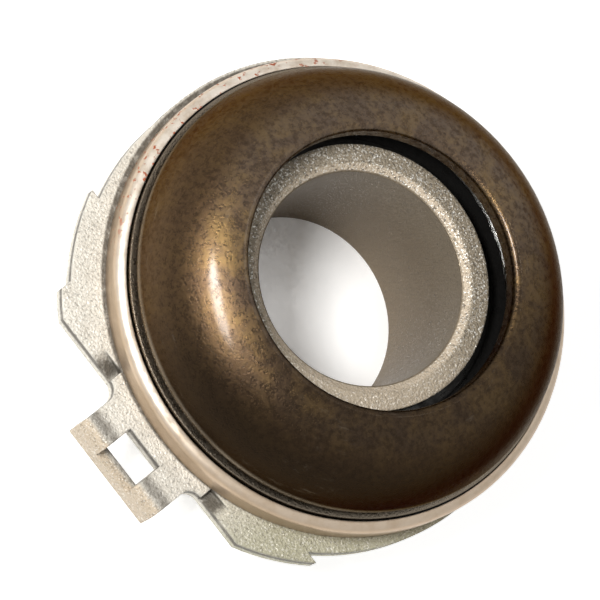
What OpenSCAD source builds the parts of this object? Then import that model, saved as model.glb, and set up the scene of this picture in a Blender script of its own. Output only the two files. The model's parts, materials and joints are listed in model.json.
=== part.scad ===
// Clutch release bearing with a cast carrier and a self-centring bearing unit.
// The axis of the guide tube is Z, the contact face looks up, and the tail of the
// guide sleeve stands on z = 0. The clip lug points to -Y.

/* [Guide sleeve] */
// Diameter of the bore that slides on the guide tube
bore_d = 36; // [30:0.5:44]
// Wall of the guide sleeve
sleeve_wall = 4.4; // [3.5:0.1:6]
// Length of the sleeve behind the flange
tail_len = 15.5; // [12:0.5:24]
// Sleeve left in front of the snap ring
end_land = 2.5; // [0.5:0.1:3]
// Width of the lead-in chamfer at the front of the bore
lead_w = 1.5; // [0.5:0.1:2]
// Depth of the lead-in chamfer
lead_h = 1; // [0.4:0.1:2]
// Chamfer on the outer edge of the tail
tail_chamfer = 0.8; // [0.2:0.1:1.5]

/* [Flange] */
// Thickness of the carrier's flange
flange_t = 3; // [2.5:0.1:5]
// How far the seat disc stands out from the cover's wall
seat_out = 0.7; // [0.3:0.1:1.5]
// How far the rim on the lug's side stands out from the cover's wall
rim_out = 0.3; // [0.1:0.1:1.5]
// How far that rim is shifted towards the lug
rim_shift = 4.5; // [3:0.5:7]
// How far the side pads stand out from the rim
pad_out = 1.7; // [0.8:0.1:3]
// Where the long side pad begins, from the axis
long_pad_start = 23; // [18:0.5:28]
// Where the short side pad begins, from the axis
short_pad_start = 32; // [28:0.5:36]
// How far the tooth stands out from the long side pad
tooth_out = 1.5; // [0.8:0.1:3]
// Distance from the axis to the tooth's outer side
tooth_side = 28.5; // [24:0.5:32]
// How far the flat end edge stands out from the cover's wall
flat_out = 0.6; // [0.3:0.1:3]
// Fillet between the tail and the flange
tail_fillet = 2.5; // [1:0.1:4]
// Width of each fork pad on the rear
fork_pad_w = 16; // [10:0.5:24]
// Distance from the tail's fillet to each fork pad
fork_pad_gap = 1; // [0.5:0.1:2]
// Length of each fork pad, measured outwards
fork_pad_len = 10; // [6:0.5:11]
// Height of each fork pad
fork_pad_h = 1.5; // [0.5:0.1:3]

/* [Clip lug] */
// Width of the lug
lug_w = 19; // [16:0.5:24]
// How far the lug's end wall stands out from the flat end edge
lug_out = 8.6; // [6:0.1:10]
// Height of the end wall, from the flange's front face
lug_drop = 6.5; // [5:0.1:10]
// Thickness of the end wall
lug_wall = 2.2; // [1.8:0.1:3]
// Radius outside the bend
bend_r = 2.4; // [1.5:0.1:2.8]
// Fillet between the lug and the flat end edge
lug_fillet = 2.4; // [1:0.1:3.5]
// Width of the window
window_w = 7.7; // [5:0.1:9]
// How far the window starts from the flat end edge
window_in = 2.4; // [1:0.1:3]
// Depth of the window's sill below the flange's front face
sill_depth = 3.3; // [2.5:0.1:4]
// Depth of the two valleys beside the lug
valley_h = 1.6; // [0.5:0.1:2]
// Width of each valley
valley_w = 5; // [3:0.5:7]
// Length of each valley, from the flat end edge inwards
valley_len = 2.4; // [1:0.1:4]

/* [Self-centring float] */
// How far the bearing unit may slide each way
float_play = 1.5; // [0.5:0.1:2]
// Where the unit rests in its float, along X
float_rest = 0.6; // [-1.5:0.1:1.5]
// Room left at the end of the float
float_gap = 0.28; // [0.2:0.02:0.5]

/* [Spring and retainer] */
// Width of the wave spring's band
spring_w = 3.4; // [2.5:0.1:5]
// Thickness of the wave spring
spring_t = 0.4; // [0.3:0.05:0.6]
// Room that the spring works in
spring_h = 0.9; // [0.8:0.05:2]
// Number of waves
spring_waves = 4; // [3:1:6]
// Thickness of the retaining washer
washer_t = 0.7; // [0.5:0.1:1.2]
// Width of the retaining washer's band
washer_w = 4.45; // [3.5:0.05:4.6]
// Thickness of the snap ring
snap_t = 0.8; // [0.6:0.1:1.5]
// Depth of the snap ring's groove
snap_groove = 1; // [0.6:0.1:1.5]
// How far the snap ring stands out of its groove
snap_out = 1.6; // [1:0.1:2.5]
// Opening of the snap ring, in degrees
snap_open = 24; // [12:1:40]

/* [Balls and cage] */
// Number of balls; their nodes are listed below
ball_n = 24; // [24]
// Diameter of a ball
ball_d = 5; // [4.6:0.1:5.2]
// Gap between a ball and its race
race_gap = 0.12; // [0.05:0.01:0.2]
// Distance from a race's shoulder to the middle of the balls
shoulder_in = 1.5; // [1.3:0.1:1.8]
// Height of the cage
cage_h = 6.8; // [6.4:0.1:7]
// Thickness of the cage's band
cage_t = 2.2; // [1.8:0.1:2.4]
// Gap between a ball and its pocket
pocket_gap = 0.2; // [0.1:0.02:0.3]

/* [Race ring] */
// Thickness of the race ring's flange
race_flange_t = 1.5; // [1.2:0.1:2.5]
// Height of the balls above that flange
ball_rise = 4; // [3.8:0.1:6]
// Height of the shoulder above the middle of the balls
shoulder_h = 2.6; // [2.5:0.1:2.8]
// Wall of the collar round the spring
collar_wall = 1.12; // [0.9:0.02:2]
// Height of the collar above the spring's seat
collar_h = 2; // [1.8:0.1:2.4]

/* [Contact ring] */
// How far the hole clears the sleeve's outer wall
hole_out = 0.8; // [0.3:0.1:2]
// Gap between the sleeve's front and the underside of the nose
rim_gap = 4.4; // [2:0.1:5]
// Wall of the nose
nose_t = 3.6; // [2.6:0.1:4]
// Radius on the hole's front edge
edge_r = 1.2; // [0.6:0.1:2]
// How far the middle of the nose's arc lies inside the hole
arc_in = 1.6; // [1:0.1:3]
// Angle between the nose's end and the upright flank
nose_lean = 10; // [5:1:20]
// Wall of the skirt, from the outer shoulder to the flank
skirt_wall = 4; // [3:0.1:5]
// Gap between the skirt's lower end and the race ring's flange
skirt_gap = 1; // [0.5:0.1:1.2]
// How far the lip stands out from the flank
lip_out = 0.7; // [0.4:0.1:1.2]
// Height of the lip
lip_h = 1.8; // [1.2:0.1:2.5]
// Depth of the groove above the lip
neck_in = 0.7; // [0.4:0.1:1]
// Height of the straight flank between that groove and the nose
flank_h = 0.5; // [0.3:0.1:1]

/* [Cover and seals] */
// Thickness of the cover's sheet
cover_t = 1.2; // [1:0.05:1.4]
// Height of the cover
cover_h = 5; // [4.5:0.1:5.5]
// Gap between the cover's edge and the contact ring's lip
lip_gap = 0.3; // [0.2:0.05:0.6]
// Width of the cover's edge inside its wall
cover_edge = 0.6; // [0.5:0.05:2]
// Radius outside the cover's shoulder
cover_round = 1.6; // [1.4:0.1:1.7]
// Thickness of the front seal
seal_t = 0.8; // [0.6:0.05:1]
// Depth of the groove that holds the front seal
seal_snap = 0.4; // [0.2:0.05:0.6]
// Running gap at the seals
seal_gap = 0.3; // [0.2:0.05:0.4]

/* [Hidden] */
$fn = 96;
eps = 0.01;
join = 0.3;
slide_gap = 0.03;
groove_gap = 0.05;

// Radii, from the guide tube outwards
bore_r = bore_d / 2;
sleeve_r = bore_r + sleeve_wall;
race_bore_r = sleeve_r + float_play * sqrt(2) + float_gap;
spring_in_r = sleeve_r + float_play + float_gap;
spring_out_r = spring_in_r + spring_w;
washer_in_r = sleeve_r + 3 * groove_gap;
washer_out_r = washer_in_r + washer_w;
snap_in_r = sleeve_r - snap_groove + groove_gap;
snap_out_r = sleeve_r + snap_out;
collar_in_r = max(spring_out_r + float_play, washer_out_r + float_play * sqrt(2)) + float_gap;
shoulder_r = collar_in_r + collar_wall;
pitch_r = shoulder_r + shoulder_in;
outer_shoulder_r = pitch_r + shoulder_in;
race_groove_r = ball_d / 2 + race_gap;
hole_r = sleeve_r + hole_out;
arc_r = hole_r - arc_in;
flank_r = outer_shoulder_r + skirt_wall;
nose_out_r = (flank_r - arc_r) / cos(nose_lean);
cavity_r = nose_out_r - nose_t;
neck_r = flank_r - neck_in;
lip_r = flank_r + lip_out;
cover_in_r = lip_r + lip_gap;
race_rim_r = cover_in_r + cover_edge;
cover_r = race_rim_r + cover_t;

// Heights, from the tail upwards
seat_z = tail_len + flange_t;
race_top_z = seat_z + race_flange_t;
ball_z = race_top_z + ball_rise;
spring_z = ball_z + shoulder_h;
washer_z = spring_z + spring_h;
snap_z = washer_z + washer_t;
sleeve_len = snap_z + snap_t + end_land;
rim_z = sleeve_len + rim_gap;
arc_z = rim_z - sqrt(cavity_r ^ 2 - arc_in ^ 2);
edge_z = arc_z + sqrt((nose_out_r - edge_r) ^ 2 - (arc_in + edge_r) ^ 2);
nose_z = arc_z + nose_out_r * sin(nose_lean);
cover_z = seat_z + cover_h;
lip_z = cover_z - lip_h / 2;
seal_z = ball_z + cage_h / 2 + seal_gap;

// Flange outline, with distances along the lug's direction
seat_r = cover_r + seat_out;
rim_r = cover_r + rim_out;
pad_r = rim_r + pad_out;
tooth_r = pad_r + tooth_out;
flat_y = cover_r + flat_out;
lug_y = flat_y + lug_out;
window_y = flat_y + window_in;
fork_pad_r = sleeve_r + tail_fillet + fork_pad_gap;

cast_grey = [0.74, 0.71, 0.66];
bronze_oxide = [0.27, 0.20, 0.13];
satin_steel = [0.70, 0.66, 0.61];
bright_steel = [0.80, 0.81, 0.82];
spring_steel = [0.42, 0.43, 0.45];
cage_resin = [0.86, 0.80, 0.66];
seal_rubber = [0.10, 0.10, 0.11];

two_digits = function(i) str(i < 10 ? "0" : "", i);
ball_names = [for (i = [1:ball_n]) str("ball_", two_digits(i))];

// A plain ring between two radii and two heights
module ring(r_in, r_out, z0, z1) {
    rotate_extrude() translate([r_in, z0]) square([r_out - r_in, z1 - z0]);
}

// Places a piece of the bearing unit where the unit rests in its float
module in_float() {
    translate([float_rest, 0, 0]) children();
}

// Section of the sleeve and its tail fillet
module sleeve_section() {
    difference() {
        union() {
            translate([bore_r, 0]) square([sleeve_wall, sleeve_len]);
            translate([sleeve_r - eps, tail_len - tail_fillet])
                difference() {
                    square([tail_fillet + eps, tail_fillet + eps]);
                    translate([tail_fillet + eps, 0]) circle(tail_fillet);
                }
        }
        polygon([[bore_r - eps, sleeve_len - lead_h], [bore_r + lead_w, sleeve_len + eps],
                 [bore_r - eps, sleeve_len + eps]]);
        polygon([[sleeve_r + eps, -eps], [sleeve_r - tail_chamfer, -eps], [sleeve_r + eps, tail_chamfer]]);
        translate([sleeve_r - snap_groove, snap_z - slide_gap])
            square([snap_groove + eps, snap_t + 2 * slide_gap]);
    }
}

// The part of a disc round the rim's middle that lies past a line on the lug's side, from x0 to x1
module rim_piece(r, start, x0, x1) {
    intersection() {
        translate([0, -rim_shift]) circle(r);
        translate([x0, -flat_y]) square([x1 - x0, flat_y - start]);
    }
}

// Outline of the flange; the lug's side looks to -Y
module flange_outline() {
    circle(seat_r);
    rim_piece(rim_r, 0, -flat_y * 2, flat_y * 2);
    rim_piece(pad_r, long_pad_start, -flat_y * 2, 0);
    rim_piece(pad_r, short_pad_start, -join, flat_y * 2);
    rim_piece(tooth_r, long_pad_start, -tooth_side, 0);
    for (side = [0, 1]) mirror([side, 0])
        translate([lug_w / 2 - join, -flat_y - lug_fillet])
            difference() {
                square([lug_fillet + join, lug_fillet + join]);
                translate([lug_fillet + join, 0]) circle(lug_fillet);
            }
}

// Section of the lug, outwards along x: plate, bend and end wall
module lug_section() {
    difference() {
        union() {
            translate([flat_y - lug_wall, seat_z - flange_t]) square([lug_y - flat_y + lug_wall, flange_t]);
            translate([lug_y - lug_wall, seat_z - lug_drop]) square([lug_wall, lug_drop]);
        }
        translate([lug_y - bend_r, seat_z - bend_r])
            difference() {
                square(bend_r + eps);
                circle(bend_r);
            }
    }
}

module carrier() {
    color(cast_grey)
        difference() {
            union() {
                difference() {
                    translate([0, 0, tail_len]) linear_extrude(flange_t) flange_outline();
                    cylinder(h = 2 * seat_z, r = bore_r + eps);
                }
                rotate_extrude() sleeve_section();
                rotate([90, 0, -90]) translate([0, 0, -lug_w / 2]) linear_extrude(lug_w) lug_section();
                for (side = [0, 180]) rotate(side)
                    translate([fork_pad_r, -fork_pad_w / 2, tail_len - fork_pad_h])
                        cube([fork_pad_len, fork_pad_w, fork_pad_h + eps]);
            }
            translate([-window_w / 2, -lug_y - 1, seat_z - sill_depth])
                cube([window_w, lug_y + 1 - window_y, sill_depth + 1]);
            translate([-window_w / 2, -lug_y + lug_wall, seat_z - lug_drop - 1])
                cube([window_w, lug_y - lug_wall - window_y, lug_drop + 2]);
            for (side = [0, 1]) mirror([side, 0, 0])
                translate([lug_w / 2 + lug_fillet, valley_len - flat_y, 0])
                    rotate([90, 0, 0]) linear_extrude(valley_len + lug_out)
                        polygon([[0, seat_z - valley_h], [valley_w, seat_z + eps], [0, seat_z + eps]]);
        }
}

module race_ring() {
    color(bright_steel) in_float()
        rotate_extrude()
            difference() {
                union() {
                    translate([race_bore_r, seat_z]) square([race_rim_r - race_bore_r, race_flange_t]);
                    translate([race_bore_r, seat_z]) square([shoulder_r - race_bore_r, spring_z - seat_z]);
                    translate([collar_in_r, spring_z - eps]) square([collar_wall, collar_h + eps]);
                }
                translate([pitch_r, ball_z]) circle(race_groove_r);
            }
}

// Outer form of the contact ring: skirt, lip, groove, flank and nose
module contact_outer() {
    translate([pitch_r, race_top_z + skirt_gap])
        square([neck_r - pitch_r, nose_z - race_top_z - skirt_gap]);
    translate([pitch_r, lip_z]) square([lip_r - pitch_r, lip_h]);
    translate([pitch_r, nose_z - flank_h]) square([flank_r - pitch_r, flank_h]);
    nose();
}

// The nose: an arc from the hole to the flank, rounded at the hole's front edge
module nose() {
    difference() {
        intersection() {
            translate([arc_r, arc_z]) circle(nose_out_r);
            translate([hole_r, nose_z - flank_h]) square([flank_r - hole_r, nose_out_r]);
        }
        translate([hole_r - eps, edge_z])
            difference() {
                square([edge_r + eps, nose_out_r]);
                translate([edge_r + eps, 0]) circle(edge_r);
            }
    }
}

// Hollow of the contact ring: ball race, seal groove and the space under the nose
module contact_hollow() {
    translate([0, race_top_z]) square([outer_shoulder_r, seal_z - race_top_z]);
    translate([pitch_r, ball_z]) circle(race_groove_r);
    translate([0, seal_z]) square([outer_shoulder_r + seal_snap, seal_t]);
    intersection() {
        translate([arc_r, arc_z]) circle(cavity_r);
        translate([0, seal_z]) square([outer_shoulder_r, nose_out_r]);
    }
}

module contact_ring() {
    color(bronze_oxide) in_float()
        rotate_extrude()
            difference() {
                contact_outer();
                contact_hollow();
            }
}

// Section of a cover of outer radius r and height h, with a rounded shoulder, from the edge outwards
module cover_section(r, h, round) {
    difference() {
        translate([cover_in_r, seat_z]) square([r - cover_in_r, h]);
        translate([r - round, seat_z + h - round])
            difference() {
                square(round + eps);
                circle(round);
            }
    }
}

module cover() {
    color(satin_steel) in_float()
        rotate_extrude()
            difference() {
                cover_section(cover_r, cover_h, cover_round);
                translate([-eps, -eps]) cover_section(race_rim_r + eps, cover_h - cover_t + eps, cover_round - cover_t);
                translate([cover_in_r, seat_z - slide_gap]) square([cover_r, 2 * slide_gap]);
            }
}

// Turns the children to each ball's place
module at_ball(i) {
    rotate(i * 360 / ball_n) translate([pitch_r, 0, ball_z]) children();
}

module cage() {
    color(cage_resin) in_float()
        difference() {
            ring(pitch_r - cage_t / 2, pitch_r + cage_t / 2, ball_z - cage_h / 2, ball_z + cage_h / 2);
            for (i = [0:ball_n - 1]) at_ball(i)
                rotate([0, 90, 0]) cylinder(h = 2 * cage_t, r = ball_d / 2 + pocket_gap, center = true);
        }
}

module ball(i) {
    color(bright_steel) in_float() at_ball(i) sphere(d = ball_d);
}

module front_seal() {
    color(seal_rubber) in_float()
        ring(shoulder_r + seal_gap, outer_shoulder_r + seal_snap, seal_z, seal_z + seal_t);
}

module rear_seal() {
    color(seal_rubber) in_float()
        ring(neck_r + seal_gap, race_rim_r - slide_gap, race_top_z, cover_z - cover_round - seal_gap);
}

// A closed wavy band; its crests reach the washer and the race ring
module wave_spring() {
    steps = 24 * spring_waves;
    swing = (spring_h - spring_t) / 2 - slide_gap;
    mid = spring_z + spring_h / 2;
    height = function(i) mid + swing * sin(360 * spring_waves * i / steps);
    corner = function(i, r, z) [r * cos(360 * i / steps), r * sin(360 * i / steps), z];
    points = [for (i = [0:steps - 1]) each [
        corner(i, spring_in_r, height(i) - spring_t / 2), corner(i, spring_out_r, height(i) - spring_t / 2),
        corner(i, spring_out_r, height(i) + spring_t / 2), corner(i, spring_in_r, height(i) + spring_t / 2)]];
    faces = [for (i = [0:steps - 1], k = [0:3]) let (
        a = 4 * i, b = 4 * ((i + 1) % steps), m = (k + 1) % 4)
        each [[a + k, a + m, b + m], [a + k, b + m, b + k]]];
    color(spring_steel) polyhedron(points, faces);
}

module retaining_washer() {
    color(spring_steel) ring(washer_in_r, washer_out_r, washer_z, washer_z + washer_t);
}

module snap_ring() {
    color(spring_steel)
        difference() {
            ring(snap_in_r, snap_out_r, snap_z, snap_z + snap_t);
            translate([0, 0, snap_z - 1]) linear_extrude(snap_t + 2)
                polygon([[0, 0], for (side = [-1, 1])
                    2 * sleeve_r * [cos(90 + side * snap_open / 2), sin(90 + side * snap_open / 2)]]);
        }
}

carrier();
race_ring();
contact_ring();
cover();
cage();
front_seal();
rear_seal();
wave_spring();
retaining_washer();
snap_ring();
for (i = [0:ball_n - 1]) ball(i);
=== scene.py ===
"""Finishes and stage for a clutch release bearing, laid out as a Blender add-on."""

import json
import math

import bpy
from bpy.props import FloatProperty, FloatVectorProperty, PointerProperty
from mathutils import Matrix, Vector


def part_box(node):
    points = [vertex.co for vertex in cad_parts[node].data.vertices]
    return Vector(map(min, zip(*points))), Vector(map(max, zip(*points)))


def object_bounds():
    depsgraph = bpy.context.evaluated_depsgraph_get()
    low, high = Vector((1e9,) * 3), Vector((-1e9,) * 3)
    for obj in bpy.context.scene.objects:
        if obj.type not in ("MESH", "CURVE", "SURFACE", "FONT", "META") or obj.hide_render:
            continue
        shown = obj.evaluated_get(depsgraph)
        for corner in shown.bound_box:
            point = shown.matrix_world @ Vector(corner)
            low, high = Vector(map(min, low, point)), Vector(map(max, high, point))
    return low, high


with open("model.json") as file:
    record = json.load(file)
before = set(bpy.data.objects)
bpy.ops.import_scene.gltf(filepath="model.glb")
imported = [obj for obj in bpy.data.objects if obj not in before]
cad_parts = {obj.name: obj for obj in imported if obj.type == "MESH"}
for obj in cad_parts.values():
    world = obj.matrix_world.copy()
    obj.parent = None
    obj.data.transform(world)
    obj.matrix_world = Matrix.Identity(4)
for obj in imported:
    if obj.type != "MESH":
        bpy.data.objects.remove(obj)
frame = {"nodes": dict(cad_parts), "record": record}

bl_info = {
    "name": "Release Bearing Finishes",
    "version": (1, 0, 0),
    "blender": (4, 5, 0),
    "location": "View3D > Sidebar > Bearing",
    "description": "Gives each piece of a clutch release bearing its finish and sets the stage",
    "category": "Material",
}

MM = 1000.0

CAD_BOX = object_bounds()
FLOOR_Z = CAD_BOX[0].z


def middle_of(node):
    """Centre of a CAD node's box, in metres."""
    low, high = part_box(node)
    return (low + high) / 2


def mount_named(name):
    """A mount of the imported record."""
    return next(m for m in frame["record"]["mounts"] if m["name"] == name)


UNIT_AXIS = middle_of("contact_ring")
COVER_AXIS = middle_of("cover")
BALLS = sorted(name for name in frame["nodes"] if name.startswith("ball_"))

# Places on the part, in millimetres.
COVER_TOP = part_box("cover")[1].z * MM
COVER_R = (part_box("cover")[1].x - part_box("cover")[0].x) / 2 * MM
SLEEVE_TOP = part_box("carrier")[1].z * MM
BORE_R = mount_named("guide_bore")["dims"]["r_mm"]
SEAT_Z = mount_named("clip_window")["pos_m"][2] * MM
LUG_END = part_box("carrier")[0].y * MM

# From where a finish, a painted light or a painted shade starts to where it ends, in millimetres from the
# axis or to one side.
SHADED_FLANGE_SIDE = (8.0, 26.0)
LIGHTER_FRONT_SIDE = (6.0, 26.0)
STRAW_BAND = (34.0, 25.0)
FLANK_BAND = (30.0, 36.0)
FILM_BAND = (27.5, 32.0)
SHADED_RING_SIDE = (-20.0, 24.0)
SHADED_MOST = 0.65
SHADED_COVER_SIDE = (-26.0, 14.0)
RUSTY_SIDE = (-26.0, -36.0)
FOOT_LIFT = 2.2
LIGHT_WALL = 16.0
LINE_RUN = 4.0

# Depths of relief and widths of worn edges, in metres.
GRAIN_DEPTH = 0.00026
OXIDE_DEPTH = 0.00008
SATIN_DEPTH = 0.00004
SPRING_DEPTH = 0.00003
GROUND_DEPTH = 0.00001
RESIN_DEPTH = 0.00004
RUBBER_DEPTH = 0.00003
RING_EDGE = 0.0003
SPRING_EDGE = 0.0002

KEY_LAMP = {"direction": (-0.375, -0.49, 0.787), "distance": 0.3, "length": 0.16, "width": 0.055}
FILL_LAMP = {"direction": (0.16, 0.63, 0.75), "distance": 0.8, "length": 0.3, "width": 0.3}
SHADOW_REACH = 0.05
SHADOW_SPAN = (0.20, 0.34)
BLACK = (0.0, 0.0, 0.0, 1.0)
WHITE = (1.0, 1.0, 1.0, 1.0)

# Kinds of sockets of the shared effects.
FLOAT, VECTOR = "NodeSocketFloat", "NodeSocketVector"


def colour_setting(name, description, default):
    """A colour that a user can change."""
    return FloatVectorProperty(
        name=name, description=description, default=default, subtype="COLOR", size=3, min=0.0, max=1.0)


def share_setting(name, description, default):
    """A share between nothing and all."""
    return FloatProperty(
        name=name, description=description, default=default, subtype="FACTOR", min=0.0, max=1.0)


def length_setting(name, description, default):
    """A length in metres."""
    return FloatProperty(
        name=name, description=description, default=default, subtype="DISTANCE", unit="LENGTH")


def power_setting(name, description, default):
    """Power of a lamp, in watts."""
    return FloatProperty(name=name, description=description, default=default, subtype="POWER", unit="POWER")


def strength_setting(name, description, default):
    """Strength of light, where one is white."""
    return FloatProperty(name=name, description=description, default=default, min=0.0)


def angle_setting(name, description, degrees):
    """An angle, given in degrees."""
    return FloatProperty(
        name=name, description=description, default=math.radians(degrees), subtype="ANGLE", unit="ROTATION")


class CarrierFinish(bpy.types.PropertyGroup):
    """Blasted casting with a machined bore"""
    plate: colour_setting("Plate", "Blasted face of the flange and the lug", (0.70, 0.66, 0.58))
    shade: colour_setting("Shade", "Darker blotches of the casting", (0.30, 0.265, 0.21))
    # Face is the front's own colour; its glitter is painted glints in the next colour.
    face: colour_setting("Face", "Glittering front of the sleeve", (0.30, 0.25, 0.18))
    painted_glint: colour_setting("Glint", "Bright grains", (0.86, 0.83, 0.76))
    bore: colour_setting("Bore", "Machined wall of the bore", (0.17, 0.125, 0.075))
    # Tan is the real colour of the bore's chamfer, and also painted shade on the lug's end and painted
    # light on one side of the sleeve's front.
    tan: colour_setting("Tan", "Lug's end, bore's chamfer and rubbed front", (0.52, 0.43, 0.32))
    # Stain is painted shade, an olive tone on the flange's side where less light falls.
    stain: colour_setting("Stain", "Oily side of the flange", (0.36, 0.34, 0.22))
    # Grime is the real colour of pits and specks, and also painted shade in corners.
    grime_and_shade: colour_setting("Grime", "Dirt in corners and pits", (0.07, 0.058, 0.042))
    grain: length_setting("Grain", "Size of the casting's grains", 0.00038)
    edge: length_setting("Edge", "Rounding on the casting's edges", 0.0004)


class ContactFinish(bpy.types.PropertyGroup):
    """Tempered oxide on the rotating contact ring"""
    # Dark is the oxide's own dark mottling, and also painted shade on the flank and on one side.
    dark: colour_setting("Dark", "Oxide on the flank and the burnt side", (0.014, 0.0095, 0.006))
    brown: colour_setting("Brown", "Main oxide colour", (0.087, 0.053, 0.029))
    gold: colour_setting("Gold", "Straw-coloured patches near the hole", (0.135, 0.083, 0.028))
    # Bright is real rubbed metal on edges, and also a painted reflection at the flank's foot.
    bright: colour_setting("Bright", "Rubbed metal at the flank's foot and on edges", (0.26, 0.22, 0.17))
    rim: colour_setting("Rim", "Tint of reflections at a flat angle", (0.42, 0.38, 0.33))
    oil: share_setting("Oil", "Weight of the thin oil film", 0.75)


class CoverFinish(bpy.types.PropertyGroup):
    """Satin pressed sheet with a few rust specks"""
    steel: colour_setting("Steel", "Bare satin steel", (0.72, 0.65, 0.56))
    # Tarnish is real random tarnish, and also painted shade on the wall and on one side.
    tarnish_and_shade: colour_setting("Tarnish", "Warm tarnish on the wall and the dull side", (0.40, 0.30, 0.205))
    rust: colour_setting("Rust", "Rust specks", (0.36, 0.085, 0.028))


class InnerFinish(bpy.types.PropertyGroup):
    """Steel, resin and rubber of the pieces inside"""
    ground: colour_setting("Ground Steel", "Races and balls", (0.62, 0.62, 0.61))
    haze: colour_setting("Haze", "Oily haze on ground steel", (0.42, 0.40, 0.36))
    spring: colour_setting("Spring Steel", "Spring, washer and snap ring", (0.06, 0.058, 0.055))
    blued: colour_setting("Blued Steel", "Darker patches of spring steel", (0.025, 0.023, 0.021))
    bare: colour_setting("Bare Edge", "Rubbed edges of spring steel", (0.3, 0.29, 0.27))
    resin: colour_setting("Resin", "Moulded cage", (0.62, 0.54, 0.36))
    flow: colour_setting("Flow", "Flow marks in the resin", (0.50, 0.42, 0.27))
    rubber: colour_setting("Rubber", "Seals", (0.018, 0.018, 0.02))
    grease: colour_setting("Grease", "Greasy dust on the seals", (0.06, 0.055, 0.045))


class StageSettings(bpy.types.PropertyGroup):
    """Camera, lights and floor"""
    azimuth: angle_setting("Azimuth", "Direction of the camera round the axis", -7.0)
    elevation: angle_setting("Elevation", "Height of the camera above the horizon", 63.95)
    roll: angle_setting("Roll", "Turn of the camera about its own axis", 58.8)
    distance: length_setting("Distance", "From the camera to the aim", 0.627)
    view_width: length_setting("View Width", "Width of the picture at the aim", 0.0977)
    aim: FloatVectorProperty(
        name="Aim", description="Point in the middle of the picture", default=(-0.0033, -0.0094, 0.02675),
        size=3, subtype="TRANSLATION", unit="LENGTH")
    floor: colour_setting("Floor", "Pale floor and backdrop", (0.97, 0.97, 0.96))
    floor_half: length_setting("Floor Half Width", "From the axis to the floor's edge", 3.0)
    floor_lift: strength_setting("Floor Lift", "Light that the floor adds to itself", 0.8)
    key_power: power_setting("Key", "Power of the key light", 1.08)
    fill_power: power_setting("Fill", "Power of the fill light", 0.3)
    sky: strength_setting("Sky", "Strength of the even light all round", 0.16)


class NodeSheet:
    """Adds nodes to one tree and wires them."""

    def __init__(self, tree):
        self.tree = tree

    def node(self, kind, sockets=None, **settings):
        """A node with its settings, its sockets fed with values or with other sockets."""
        made = self.tree.nodes.new(kind)
        for name, value in settings.items():
            setattr(made, name, value)
        for name, value in (sockets or {}).items():
            self.feed(made.inputs[name], value)
        return made

    def feed(self, socket, value):
        """Links a socket or sets its value."""
        if isinstance(value, bpy.types.NodeSocket):
            self.tree.links.new(value, socket)
        else:
            socket.default_value = value

    def group(self, name, **sockets):
        """One of the shared effects, with its own values."""
        made = self.tree.nodes.new("ShaderNodeGroup")
        made.node_tree = bpy.data.node_groups[name]
        for socket, value in sockets.items():
            self.feed(made.inputs[socket.replace("_", " ").title()], value)
        return made.outputs

    def reckon(self, kind, first, second):
        """A Math node on two values."""
        return self.node("ShaderNodeMath", {0: first, 1: second}, operation=kind).outputs[0]

    def times(self, first, second):
        """One value times another."""
        return self.reckon("MULTIPLY", first, second)

    def plus(self, first, second):
        """Two values added."""
        return self.reckon("ADD", first, second)

    def minus(self, first, second):
        """One value less another."""
        return self.reckon("SUBTRACT", first, second)

    def larger(self, first, second):
        """The larger of two values."""
        return self.reckon("MAXIMUM", first, second)

    def arrow(self, kind, *vectors):
        """A Vector Math node on one or two vectors."""
        return self.node("ShaderNodeVectorMath", dict(enumerate(vectors)), operation=kind).outputs[0]

    def stretch(self, vector, scale):
        """A vector times a number."""
        return self.node("ShaderNodeVectorMath", {0: vector, "Scale": scale}, operation="SCALE").outputs[0]

    def sides(self, place):
        """The parts of a place along X, Y and Z."""
        return self.node("ShaderNodeSeparateXYZ", {0: place}).outputs

    def span(self, value, start, end, low=0.0, high=1.0):
        """Takes a value between start and end smoothly to low and high."""
        sockets = {"Value": value, "From Min": start, "From Max": end, "To Min": low, "To Max": high}
        return self.node("ShaderNodeMapRange", sockets, interpolation_type="SMOOTHSTEP").outputs["Result"]

    def noise(self, place, scale, detail=4.0, roughness=0.55, distortion=0.0):
        """Soft noise at a place given in millimetres."""
        sockets = {"Vector": place, "Scale": scale, "Detail": detail, "Roughness": roughness,
                   "Distortion": distortion}
        return self.node("ShaderNodeTexNoise", sockets).outputs["Fac"]

    def cells(self, place, scale):
        """Distance to the nearest of many scattered points."""
        return self.node("ShaderNodeTexVoronoi", {"Vector": place, "Scale": scale}).outputs["Distance"]

    def mix(self, share, first, second):
        """Two colours mixed."""
        made = self.node("ShaderNodeMix", data_type="RGBA")
        self.feed(made.inputs[0], share)
        self.feed(made.inputs[6], first)
        self.feed(made.inputs[7], second)
        return made.outputs[2]

    def bump(self, height, depth, normal=None):
        """A normal roughened by a height; depth is in metres."""
        sockets = {"Height": height, "Distance": depth, "Strength": 1.0}
        if normal is not None:
            sockets["Normal"] = normal
        return self.node("ShaderNodeBump", sockets).outputs["Normal"]


def rgba(colour):
    """A colour setting as four numbers."""
    return (*colour, 1.0)


def new_group(name, inputs, outputs):
    """An empty shader node group with its sockets; returns its sheet, its inputs and its output node."""
    tree = bpy.data.node_groups.new(name, "ShaderNodeTree")
    for socket, kind, default in inputs:
        made = tree.interface.new_socket(socket, in_out="INPUT", socket_type=kind)
        if default is not None:
            made.default_value = default
    for socket, kind in outputs:
        tree.interface.new_socket(socket, in_out="OUTPUT", socket_type=kind)
    sheet = NodeSheet(tree)
    return sheet, sheet.node("NodeGroupInput").outputs, sheet.node("NodeGroupOutput").inputs


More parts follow.
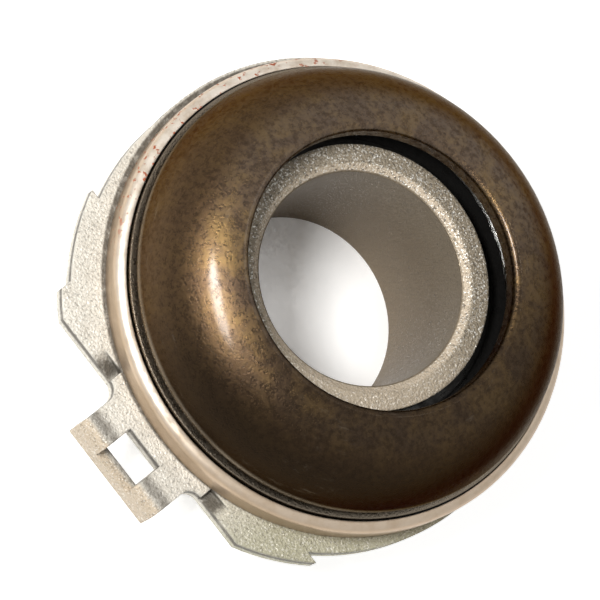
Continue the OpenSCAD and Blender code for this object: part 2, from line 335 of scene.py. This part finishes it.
def make_turned_place_group():
    """Place on a turned piece: radius and height about its axis, and a place for lathe lines."""
    sheet, given, out = new_group(
        "Turned Place", [("Axis", VECTOR, None)],
        [("Place", VECTOR), ("Radius", FLOAT), ("Height", FLOAT), ("Lines", VECTOR)])
    metres = sheet.node("ShaderNodeTexCoord").outputs["Object"]
    place = sheet.stretch(sheet.arrow("SUBTRACT", metres, given["Axis"]), MM)
    sides = sheet.sides(place)
    flat = sheet.node("ShaderNodeCombineXYZ", {"X": sides["X"], "Y": sides["Y"]}).outputs[0]
    radius = sheet.node("ShaderNodeVectorMath", {0: flat}, operation="LENGTH").outputs["Value"]
    along = sheet.stretch(sheet.arrow("NORMALIZE", flat), LINE_RUN)
    across = sheet.node("ShaderNodeCombineXYZ", {"Z": sheet.plus(radius, sides["Z"])}).outputs[0]
    sheet.feed(out["Place"], place)
    sheet.feed(out["Radius"], radius)
    sheet.feed(out["Height"], sides["Z"])
    sheet.feed(out["Lines"], sheet.arrow("ADD", along, across))


def make_casting_grain_group():
    """Grains, bright flecks and broad blotches of a blasted casting."""
    sheet, given, out = new_group(
        "Casting Grain", [("Place", VECTOR, None), ("Fineness", FLOAT, 2.0)],
        [("Height", FLOAT), ("Fleck", FLOAT), ("Blotch", FLOAT)])
    place, fineness = given["Place"], given["Fineness"]
    grains = sheet.noise(place, fineness, 3.0, 0.65)
    pebbles = sheet.cells(place, sheet.times(fineness, 0.8))
    height = sheet.plus(sheet.times(grains, 0.7), sheet.times(pebbles, -0.3))
    glints = sheet.noise(place, sheet.times(fineness, 1.2), 2.0, 0.7)
    sheet.feed(out["Height"], height)
    sheet.feed(out["Fleck"], sheet.span(glints, 0.54, 0.66))
    sheet.feed(out["Blotch"], sheet.noise(place, 0.22, 5.0, 0.6))


def make_edge_wear_group():
    """Rounds the normals at edges and tells where the edges are rubbed."""
    sheet, given, out = new_group(
        "Edge Wear", [("Place", VECTOR, None), ("Width", FLOAT, 0.0004)],
        [("Mask", FLOAT), ("Normal", VECTOR)])
    soft = sheet.node("ShaderNodeBevel", {"Radius": given["Width"]}, samples=6).outputs[0]
    sharp = sheet.node("ShaderNodeNewGeometry").outputs["Normal"]
    turn = sheet.node("ShaderNodeVectorMath", {0: soft, 1: sharp}, operation="DOT_PRODUCT").outputs["Value"]
    edge = sheet.span(turn, 0.995, 0.85)
    broken = sheet.span(sheet.noise(given["Place"], 0.8, 5.0, 0.7), 0.38, 0.62)
    sheet.feed(out["Mask"], sheet.times(edge, broken))
    sheet.feed(out["Normal"], soft)


def make_lathe_lines_group():
    """Fine lines left by turning, pressing and rubbing round the axis."""
    sheet, given, out = new_group(
        "Lathe Lines", [("Lines", VECTOR, None), ("Closeness", FLOAT, 3.0)],
        [("Height", FLOAT), ("Scratch", FLOAT)])
    fine = sheet.noise(given["Lines"], given["Closeness"], 4.0, 0.7)
    coarse = sheet.noise(given["Lines"], sheet.times(given["Closeness"], 0.31), 6.0, 0.75, 0.2)
    sheet.feed(out["Height"], fine)
    sheet.feed(out["Scratch"], sheet.span(coarse, 0.60, 0.70))


def make_pits_group():
    """Small pits and specks scattered on a surface."""
    sheet, given, out = new_group(
        "Pits", [("Place", VECTOR, None), ("Fineness", FLOAT, 1.5), ("Share", FLOAT, 0.3)],
        [("Mask", FLOAT)])
    specks = sheet.noise(given["Place"], given["Fineness"], 3.0, 0.6)
    start = sheet.minus(0.78, sheet.times(given["Share"], 0.3))
    sheet.feed(out["Mask"], sheet.span(specks, start, sheet.plus(start, 0.06)))


def make_corner_shade_group():
    """Painted shade beside the cover's wall, in the valleys, on the bend and on the flange's edge, made
    uneven by noise.
    """
    sheet, given, out = new_group(
        "Painted Corner Shade", [("Place", VECTOR, None), ("Radius", FLOAT, 0.0), ("Height", FLOAT, 0.0)],
        [("Mask", FLOAT)])
    place, radius, height = given["Place"], given["Radius"], given["Height"]
    along_lug = sheet.sides(place)["Y"]

    # Painted shade on the flange's edge below its face and in the valleys beside the lug.
    under_face = sheet.span(height, SEAT_Z - 0.05, SEAT_Z - 0.7)
    above_rear = sheet.span(height, SEAT_Z - 2.0, SEAT_Z - 1.2)
    off_lug = sheet.span(along_lug, LUG_END + 3.0, LUG_END + 4.0)
    on_edge = sheet.times(sheet.times(under_face, above_rear), off_lug)
    # Painted shade across the lug's bend, where the lug steps down.
    bend_start = sheet.span(along_lug, LUG_END + 4.4, LUG_END + 3.0)
    bend_end = sheet.span(along_lug, LUG_END + 0.9, LUG_END + 2.2)
    on_bend = sheet.times(sheet.times(bend_start, bend_end), 0.75)
    # Painted shade in the gap beside the cover's foot.
    beside_cover = sheet.span(radius, COVER_R + 0.6, COVER_R + 0.1)
    shade_mask = sheet.larger(sheet.larger(on_edge, on_bend), beside_cover)

    outside = sheet.span(radius, COVER_R - 4.0, COVER_R - 3.0)
    low = sheet.span(height, SEAT_Z + 0.4, SEAT_Z + 0.1)
    shade_mask = sheet.times(shade_mask, sheet.times(outside, low))
    uneven = sheet.span(sheet.noise(place, 0.7, 5.0, 0.65), 0.25, 0.55, 0.55, 0.92)
    sheet.feed(out["Mask"], sheet.times(shade_mask, uneven))


SHARED_EFFECTS = (make_turned_place_group, make_casting_grain_group, make_edge_wear_group,
                  make_lathe_lines_group, make_pits_group, make_corner_shade_group)


def new_material(name):
    """A material with an empty tree; returns it with its sheet and its Principled shader."""
    material = bpy.data.materials.new(name)
    material.use_nodes = True
    material.node_tree.nodes.clear()
    sheet = NodeSheet(material.node_tree)
    shader = sheet.node("ShaderNodeBsdfPrincipled")
    sheet.node("ShaderNodeOutputMaterial", {"Surface": shader.outputs["BSDF"]})
    return material, sheet, shader.inputs


def dress(material, *nodes):
    """Gives CAD nodes a material."""
    for name in nodes:
        slots = frame["nodes"][name].data.materials
        slots.clear()
        slots.append(material)


def cast_carrier_material(finish):
    """Blasted casting with a smoother bore; painted glints on the sleeve's front, painted light on one side
    of the front and near the bore's mouth, painted shade on the lug's end, on one side of the flange and in
    corners.
    """
    material, sheet, shader = new_material("cast_carrier")
    turned = sheet.group("Turned Place", axis=(0.0, 0.0, 0.0))
    place, radius, height = turned["Place"], turned["Radius"], turned["Height"]
    sides = sheet.sides(place)
    grain = sheet.group("Casting Grain", place=place, fineness=1.0 / (finish.grain * MM))
    edge = sheet.group("Edge Wear", place=place, width=finish.edge)
    pits = sheet.group("Pits", place=place, fineness=1.9, share=0.75)["Mask"]
    specks = sheet.group("Pits", place=place, fineness=2.4, share=0.65)["Mask"]
    # Painted shade in corners, on the lug's bend and on the flange's edge.
    corner_shade = sheet.group("Painted Corner Shade", place=place, radius=radius, height=height)["Mask"]

    in_bore = sheet.span(radius, BORE_R + 0.3, BORE_R + 0.1)
    on_face = sheet.span(height, SLEEVE_TOP - 1.5, SLEEVE_TOP - 1.0)
    off_face = sheet.span(on_face, 1.0, 0.0)
    on_chamfer = sheet.times(on_face, sheet.span(radius, BORE_R + 1.5, BORE_R + 1.1))
    # Painted shade: an olive tone darkens the flange towards one side, where less light falls.
    side_shade = sheet.times(sheet.span(sides["X"], *SHADED_FLANGE_SIDE, 0.0, 0.8), off_face)
    # Painted shade: the lug's bent end is coloured a darker tan in place of the shade on its end wall.
    shaded_end = sheet.span(sides["Y"], LUG_END + 2.0, LUG_END + 1.0)
    one_side = sheet.minus(sides["X"], sides["Y"])
    # Painted light: one side of the sleeve's front is lightened with tan, where more light falls.
    rubbed = sheet.times(on_face, sheet.span(one_side, *LIGHTER_FRONT_SIDE, 0.0, 0.55))
    # Painted light: the bore's wall grows lighter towards its open front and darker deeper in.
    lit_near_front = sheet.span(height, SLEEVE_TOP - LIGHT_WALL, SLEEVE_TOP, 0.0, 0.45)

    blotch = sheet.span(grain["Blotch"], 0.35, 0.75, 0.0, 0.35)
    colour = sheet.mix(blotch, rgba(finish.plate), rgba(finish.shade))
    colour = sheet.mix(on_face, colour, rgba(finish.face))
    colour = sheet.mix(on_chamfer, colour, rgba(finish.tan))
    colour = sheet.mix(side_shade, colour, rgba(finish.stain))
    colour = sheet.mix(shaded_end, colour, rgba(finish.tan))
    dark_grains = sheet.times(pits, sheet.span(on_face, 0.0, 1.0, 0.4, 0.7))
    colour = sheet.mix(dark_grains, colour, rgba(finish.grime_and_shade))
    # Painted glints: bright flecks on the sleeve's front.
    painted_glitter = sheet.times(grain["Fleck"], sheet.span(on_face, 0.0, 1.0, 0.5, 1.0))
    colour = sheet.mix(painted_glitter, colour, rgba(finish.painted_glint))
    colour = sheet.mix(rubbed, colour, rgba(finish.tan))
    wall = sheet.mix(lit_near_front, rgba(finish.bore), rgba(finish.face))
    colour = sheet.mix(in_bore, colour, wall)
    bore_specks = sheet.times(sheet.times(specks, in_bore), 0.55)
    colour = sheet.mix(bore_specks, colour, rgba(finish.grime_and_shade))
    # Painted shade: the corners are darkened with the grime colour.
    sheet.feed(shader["Base Color"], sheet.mix(corner_shade, colour, rgba(finish.grime_and_shade)))

    shader["Metallic"].default_value = 0.4
    rough = sheet.span(grain["Fleck"], 0.0, 1.0, 0.60, 0.34)
    sheet.feed(shader["Roughness"], sheet.minus(rough, sheet.times(in_bore, 0.12)))
    relief = sheet.times(grain["Height"], sheet.span(in_bore, 0.0, 1.0, 1.0, 0.15))
    sheet.feed(shader["Normal"], sheet.bump(relief, GRAIN_DEPTH, edge["Normal"]))
    return material


def contact_oxide_material(finish):
    """Dark bronze oxide with straw patches near the hole and a thin oil film; painted shade makes the flank
    near black and darkens one side, and a painted reflection lightens the flank's foot.
    """
    material, sheet, shader = new_material("contact_oxide")
    turned = sheet.group("Turned Place", axis=tuple(UNIT_AXIS))
    place, radius, height = turned["Place"], turned["Radius"], turned["Height"]
    sides = sheet.sides(place)
    edge = sheet.group("Edge Wear", place=place, width=RING_EDGE)
    lines = sheet.group("Lathe Lines", lines=turned["Lines"], closeness=2.4)
    pits = sheet.group("Pits", place=place, fineness=2.6, share=0.28)["Mask"]
    cloud = sheet.noise(place, 0.17, 6.0, 0.62, 0.5)
    mottle = sheet.noise(place, 0.95, 8.0, 0.72)
    grit = sheet.noise(place, 2.8, 2.0, 0.7)

    near_hole = sheet.span(radius, *STRAW_BAND)
    on_flank = sheet.span(radius, *FLANK_BAND)
    on_crest = sheet.span(radius, *FILM_BAND, 1.0, 0.05)
    foot = COVER_TOP + FOOT_LIFT - UNIT_AXIS.z * MM
    foot_reflection = sheet.span(height, foot + 1.6, foot + 0.3)
    one_side = sheet.minus(sides["X"], sheet.times(sides["Y"], 0.4))
    # Painted shade: the ring darkens towards one side, where less light falls; there the straw patches fade
    # and the oil film thins.
    shaded = sheet.span(one_side, *SHADED_RING_SIDE, 0.0, SHADED_MOST)

    oxide = sheet.plus(sheet.times(mottle, 0.65), sheet.times(grit, 0.35))
    oxide = sheet.span(oxide, 0.30, 0.66, 0.4, 1.0)
    colour = sheet.mix(oxide, rgba(finish.dark), rgba(finish.brown))
    colour = sheet.mix(shaded, colour, rgba(finish.dark))
    patch = sheet.plus(sheet.times(cloud, 0.6), sheet.times(mottle, 0.4))
    straw = sheet.times(sheet.span(patch, 0.42, 0.66), sheet.span(near_hole, 0.0, 1.0, 0.25, 0.9))
    straw = sheet.times(straw, sheet.span(shaded, 0.0, SHADED_MOST, 1.0, 0.35))
    colour = sheet.mix(straw, colour, rgba(finish.gold))
    # Painted shade: the outer flank is darkened, most on the shaded side.
    flank_shade = sheet.times(on_flank, sheet.span(shaded, 0.0, SHADED_MOST, 0.15, 0.8))
    colour = sheet.mix(flank_shade, colour, rgba(finish.dark))
    colour = sheet.mix(sheet.times(pits, 0.12), colour, rgba(finish.dark))
    # Real wear on edges and scratches, and a painted reflection: a light band at the flank's foot.
    wear_and_reflection = sheet.plus(sheet.times(edge["Mask"], 0.5), sheet.times(lines["Scratch"], 0.10))
    wear_and_reflection = sheet.larger(wear_and_reflection, sheet.times(foot_reflection, 0.6))
    sheet.feed(shader["Base Color"], sheet.mix(wear_and_reflection, colour, rgba(finish.bright)))

    shader["Metallic"].default_value = 1.0
    rough = sheet.span(mottle, 0.3, 0.7, 0.23, 0.34)
    sheet.feed(shader["Roughness"], sheet.plus(rough, sheet.times(pits, 0.06)))
    film = sheet.times(sheet.span(mottle, 0.35, 0.6, 0.4, 1.0), on_crest)
    film = sheet.times(film, sheet.span(shaded, 0.0, SHADED_MOST, 1.0, 0.2))
    sheet.feed(shader["Coat Weight"], sheet.times(film, finish.oil))
    shader["Coat Roughness"].default_value = 0.15
    shader["Specular Tint"].default_value = rgba(finish.rim)
    skin = sheet.plus(sheet.times(mottle, 0.6), sheet.times(lines["Height"], 0.3))
    relief = sheet.minus(sheet.plus(skin, grit), sheet.times(pits, 0.1))
    sheet.feed(shader["Normal"], sheet.bump(relief, OXIDE_DEPTH, edge["Normal"]))
    return material


def cover_steel_material(finish):
    """Satin pressed sheet with random tarnish and rust specks on one side; painted shade on its wall and
    towards one side.
    """
    material, sheet, shader = new_material("cover_steel")
    turned = sheet.group("Turned Place", axis=tuple(COVER_AXIS))
    place, height = turned["Place"], turned["Height"]
    sides = sheet.sides(place)
    edge = sheet.group("Edge Wear", place=place, width=RING_EDGE)
    lines = sheet.group("Lathe Lines", lines=turned["Lines"], closeness=3.4)
    specks = sheet.group("Pits", place=place, fineness=0.9, share=0.64)["Mask"]
    stain = sheet.noise(place, 0.3, 6.0, 0.65)

    top = COVER_TOP - COVER_AXIS.z * MM
    # Painted shade: the cover's wall and one side are given the tarnish colour.
    shaded_wall = sheet.span(height, top - 0.25, top - 0.9)
    shady = sheet.span(sides["X"], *SHADED_COVER_SIDE, 0.0, 0.7)
    rust = sheet.times(specks, sheet.span(sides["X"], *RUSTY_SIDE))
    stained = sheet.span(stain, 0.38, 0.72, 0.05, 0.7)
    colour = sheet.mix(stained, rgba(finish.steel), rgba(finish.tarnish_and_shade))
    colour = sheet.mix(sheet.times(shaded_wall, 0.85), colour, rgba(finish.tarnish_and_shade))
    colour = sheet.mix(shady, colour, rgba(finish.tarnish_and_shade))
    sheet.feed(shader["Base Color"], sheet.mix(rust, colour, rgba(finish.rust)))

    sheet.feed(shader["Metallic"], sheet.span(rust, 0.1, 0.6, 0.85, 0.0))
    rough = sheet.span(lines["Height"], 0.3, 0.7, 0.34, 0.46)
    sheet.feed(shader["Roughness"], sheet.plus(rough, sheet.times(rust, 0.4)))
    relief = sheet.plus(lines["Height"], sheet.times(rust, 1.5))
    sheet.feed(shader["Normal"], sheet.bump(relief, SATIN_DEPTH, edge["Normal"]))
    return material


def ground_steel_material(finish):
    """Ground bearing steel with fine grinding lines and an oily haze."""
    material, sheet, shader = new_material("ground_steel")
    turned = sheet.group("Turned Place", axis=tuple(UNIT_AXIS))
    lines = sheet.group("Lathe Lines", lines=turned["Lines"], closeness=5.0)
    haze = sheet.noise(turned["Place"], 0.35, 5.0, 0.6)
    hazy = sheet.span(haze, 0.45, 0.7, 0.0, 0.6)
    sheet.feed(shader["Base Color"], sheet.mix(hazy, rgba(finish.ground), rgba(finish.haze)))
    shader["Metallic"].default_value = 1.0
    sheet.feed(shader["Roughness"], sheet.span(haze, 0.3, 0.7, 0.16, 0.30))
    sheet.feed(shader["Normal"], sheet.bump(lines["Height"], GROUND_DEPTH))
    return material


def spring_steel_material(finish):
    """Oiled dark spring steel, rubbed bright on its edges."""
    material, sheet, shader = new_material("spring_steel")
    turned = sheet.group("Turned Place", axis=(0.0, 0.0, 0.0))
    edge = sheet.group("Edge Wear", place=turned["Place"], width=SPRING_EDGE)
    lines = sheet.group("Lathe Lines", lines=turned["Lines"], closeness=4.0)
    blue = sheet.noise(turned["Place"], 0.4, 5.0, 0.6)
    rubbed = sheet.times(edge["Mask"], 0.3)
    colour = sheet.mix(sheet.span(blue, 0.4, 0.7), rgba(finish.spring), rgba(finish.blued))
    sheet.feed(shader["Base Color"], sheet.mix(rubbed, colour, rgba(finish.bare)))
    shader["Metallic"].default_value = 0.9
    sheet.feed(shader["Roughness"], sheet.span(blue, 0.3, 0.7, 0.26, 0.44))
    sheet.feed(shader["Normal"], sheet.bump(lines["Height"], SPRING_DEPTH, edge["Normal"]))
    return material


def cage_resin_material(finish):
    """Moulded resin with a slight flow pattern and a matt skin."""
    material, sheet, shader = new_material("cage_resin")
    turned = sheet.group("Turned Place", axis=tuple(UNIT_AXIS))
    grain = sheet.group("Casting Grain", place=turned["Place"], fineness=4.0)
    flow = sheet.span(grain["Blotch"], 0.4, 0.7)
    sheet.feed(shader["Base Color"], sheet.mix(flow, rgba(finish.resin), rgba(finish.flow)))
    sheet.feed(shader["Roughness"], sheet.span(grain["Blotch"], 0.3, 0.7, 0.42, 0.58))
    sheet.feed(shader["Normal"], sheet.bump(grain["Height"], RESIN_DEPTH))
    return material


def seal_rubber_material(finish):
    """Black moulded rubber with a dusting of grease."""
    material, sheet, shader = new_material("seal_rubber")
    turned = sheet.group("Turned Place", axis=tuple(UNIT_AXIS))
    grain = sheet.group("Casting Grain", place=turned["Place"], fineness=3.0)
    greasy = sheet.span(grain["Blotch"], 0.45, 0.75, 0.0, 0.6)
    sheet.feed(shader["Base Color"], sheet.mix(greasy, rgba(finish.rubber), rgba(finish.grease)))
    sheet.feed(shader["Roughness"], sheet.span(grain["Blotch"], 0.3, 0.7, 0.5, 0.68))
    sheet.feed(shader["Normal"], sheet.bump(grain["Height"], RUBBER_DEPTH))
    return material


def seen_as_backdrop(sheet):
    """One where the camera sees a surface itself, in a mirror or through glass."""
    path = sheet.node("ShaderNodeLightPath").outputs
    mirrored = sheet.larger(path["Is Glossy Ray"], path["Is Transmission Ray"])
    return sheet.larger(path["Is Camera Ray"], mirrored)


def floor_material(stage):
    """Pale floor that keeps the shadow and is clear from below; its own glow fades where the bearing is
    close, a painted shade inside the bore and under overhangs.
    """
    material, sheet, shader = new_material("pale_floor")
    shader["Base Color"].default_value = rgba(stage.floor)
    shader["Roughness"].default_value = 0.8
    around = sheet.node("ShaderNodeAmbientOcclusion", {"Distance": SHADOW_REACH}, samples=16)
    # Painted shade: ambient occlusion takes the floor's glow away where the bearing is close, inside the
    # bore and under overhangs.
    in_the_open = sheet.span(around.outputs["AO"], *SHADOW_SPAN)
    glow = sheet.times(in_the_open, seen_as_backdrop(sheet))
    sheet.feed(shader["Emission Color"], sheet.mix(glow, BLACK, WHITE))
    shader["Emission Strength"].default_value = stage.floor_lift
    below = sheet.node("ShaderNodeNewGeometry").outputs["Backfacing"]
    sheet.feed(shader["Alpha"], sheet.minus(1.0, below))
    return material


def area_light(name, power, direction, distance, length, width):
    """A soft oval lamp that looks at the bearing; its length lies level."""
    lamp = bpy.data.lights.new(name, "AREA")
    lamp.shape = "ELLIPSE"
    lamp.size = length
    lamp.size_y = width
    lamp.energy = power
    away = Vector(direction).normalized()
    level = Vector((0.0, 0.0, 1.0)).cross(away).normalized()
    axes = Matrix((level, away.cross(level), away)).transposed().to_4x4()
    holder = bpy.data.objects.new(name, lamp)
    holder.matrix_world = Matrix.Translation(UNIT_AXIS + away * distance) @ axes
    bpy.context.scene.collection.objects.link(holder)


def make_camera(stage):
    """The camera at the photograph's angle."""
    turn, rise = stage.azimuth, stage.elevation
    back = Vector((math.sin(turn) * math.cos(rise), -math.cos(turn) * math.cos(rise), math.sin(rise)))
    level = Vector((math.cos(turn), math.sin(turn), 0.0))
    right = math.cos(stage.roll) * level + math.sin(stage.roll) * back.cross(level)
    up = back.cross(right)
    lens = bpy.data.cameras.new("photo_camera")
    lens.sensor_width = 36.0
    lens.lens = lens.sensor_width * stage.distance / stage.view_width
    lens.clip_start = 0.01
    lens.clip_end = 20.0
    camera = bpy.data.objects.new("photo_camera", lens)
    axes = Matrix((right, up, back)).transposed().to_4x4()
    camera.matrix_world = Matrix.Translation(Vector(stage.aim) + back * stage.distance) @ axes
    bpy.context.scene.collection.objects.link(camera)
    bpy.context.scene.camera = camera


def make_floor(stage):
    """A flat pale floor under the tail."""
    half = stage.floor_half
    mesh = bpy.data.meshes.new("floor")
    corners = [(x * half, y * half, FLOOR_Z) for x, y in ((-1, -1), (1, -1), (1, 1), (-1, 1))]
    mesh.from_pydata(corners, [], [(0, 1, 2, 3)])
    mesh.materials.append(floor_material(stage))
    floor = bpy.data.objects.new("floor", mesh)
    bpy.context.scene.collection.objects.link(floor)


def make_world(stage):
    """Even light all round, and a white backdrop for the camera."""
    world = bpy.data.worlds.new("studio")
    world.use_nodes = True
    world.node_tree.nodes.clear()
    sheet = NodeSheet(world.node_tree)
    strength = sheet.larger(stage.sky, seen_as_backdrop(sheet))
    light = sheet.node("ShaderNodeBackground", {"Color": WHITE, "Strength": strength})
    sheet.node("ShaderNodeOutputWorld", {"Surface": light.outputs[0]})
    bpy.context.scene.world = world


class BEARING_OT_carrier(bpy.types.Operator):
    """Finish the cast carrier"""
    bl_idname = "bearing.carrier"
    bl_label = "Carrier"

    def execute(self, context):
        dress(cast_carrier_material(context.scene.carrier_finish), "carrier")
        return {"FINISHED"}


class BEARING_OT_contact_ring(bpy.types.Operator):
    """Finish the rotating contact ring"""
    bl_idname = "bearing.contact_ring"
    bl_label = "Contact Ring"

    def execute(self, context):
        dress(contact_oxide_material(context.scene.contact_finish), "contact_ring")
        return {"FINISHED"}


class BEARING_OT_cover(bpy.types.Operator):
    """Finish the pressed cover"""
    bl_idname = "bearing.cover"
    bl_label = "Cover"

    def execute(self, context):
        dress(cover_steel_material(context.scene.cover_finish), "cover")
        return {"FINISHED"}


class BEARING_OT_races_and_balls(bpy.types.Operator):
    """Finish the race ring, the balls and their cage"""
    bl_idname = "bearing.races_and_balls"
    bl_label = "Races and Balls"

    def execute(self, context):
        finish = context.scene.inner_finish
        dress(ground_steel_material(finish), "race_ring", *BALLS)
        dress(cage_resin_material(finish), "cage")
        return {"FINISHED"}


class BEARING_OT_spring_and_retainer(bpy.types.Operator):
    """Finish the wave spring, its washer and the snap ring"""
    bl_idname = "bearing.spring_and_retainer"
    bl_label = "Spring and Retainer"

    def execute(self, context):
        steel = spring_steel_material(context.scene.inner_finish)
        dress(steel, "wave_spring", "retaining_washer", "snap_ring")
        return {"FINISHED"}


class BEARING_OT_seals(bpy.types.Operator):
    """Finish the two seals"""
    bl_idname = "bearing.seals"
    bl_label = "Seals"

    def execute(self, context):
        dress(seal_rubber_material(context.scene.inner_finish), "front_seal", "rear_seal")
        return {"FINISHED"}


class BEARING_OT_stage(bpy.types.Operator):
    """Set the floor, the lights and the camera"""
    bl_idname = "bearing.stage"
    bl_label = "Stage"

    def execute(self, context):
        stage = context.scene.bearing_stage
        make_floor(stage)
        make_world(stage)
        area_light("key", stage.key_power, **KEY_LAMP)
        area_light("fill", stage.fill_power, **FILL_LAMP)
        make_camera(stage)
        context.scene.view_settings.view_transform = "Standard"
        return {"FINISHED"}


OPERATORS = (BEARING_OT_carrier, BEARING_OT_contact_ring, BEARING_OT_cover, BEARING_OT_races_and_balls,
             BEARING_OT_spring_and_retainer, BEARING_OT_seals, BEARING_OT_stage)

SETTINGS = {"carrier_finish": CarrierFinish, "contact_finish": ContactFinish, "cover_finish": CoverFinish,
            "inner_finish": InnerFinish, "bearing_stage": StageSettings}


class BEARING_PT_finishes(bpy.types.Panel):
    """Buttons and settings for the bearing's finishes"""
    bl_idname = "BEARING_PT_finishes"
    bl_label = "Release Bearing"
    bl_space_type = "VIEW_3D"
    bl_region_type = "UI"
    bl_category = "Bearing"

    def draw(self, context):
        for operator in OPERATORS:
            self.layout.operator(operator.bl_idname)
        for name, group in SETTINGS.items():
            box = self.layout.box()
            for setting in group.__annotations__:
                box.prop(getattr(context.scene, name), setting)


CLASSES = (*SETTINGS.values(), *OPERATORS, BEARING_PT_finishes)


def register():
    for cls in CLASSES:
        bpy.utils.register_class(cls)
    for name, group in SETTINGS.items():
        setattr(bpy.types.Scene, name, PointerProperty(type=group))


def unregister():
    for name in SETTINGS:
        delattr(bpy.types.Scene, name)
    for cls in reversed(CLASSES):
        bpy.utils.unregister_class(cls)


def main():
    register()
    for make_group in SHARED_EFFECTS:
        make_group()
    bpy.ops.bearing.carrier()
    bpy.ops.bearing.contact_ring()
    bpy.ops.bearing.cover()
    bpy.ops.bearing.races_and_balls()
    bpy.ops.bearing.spring_and_retainer()
    bpy.ops.bearing.seals()
    bpy.ops.bearing.stage()


if __name__ == "__main__":
    main()
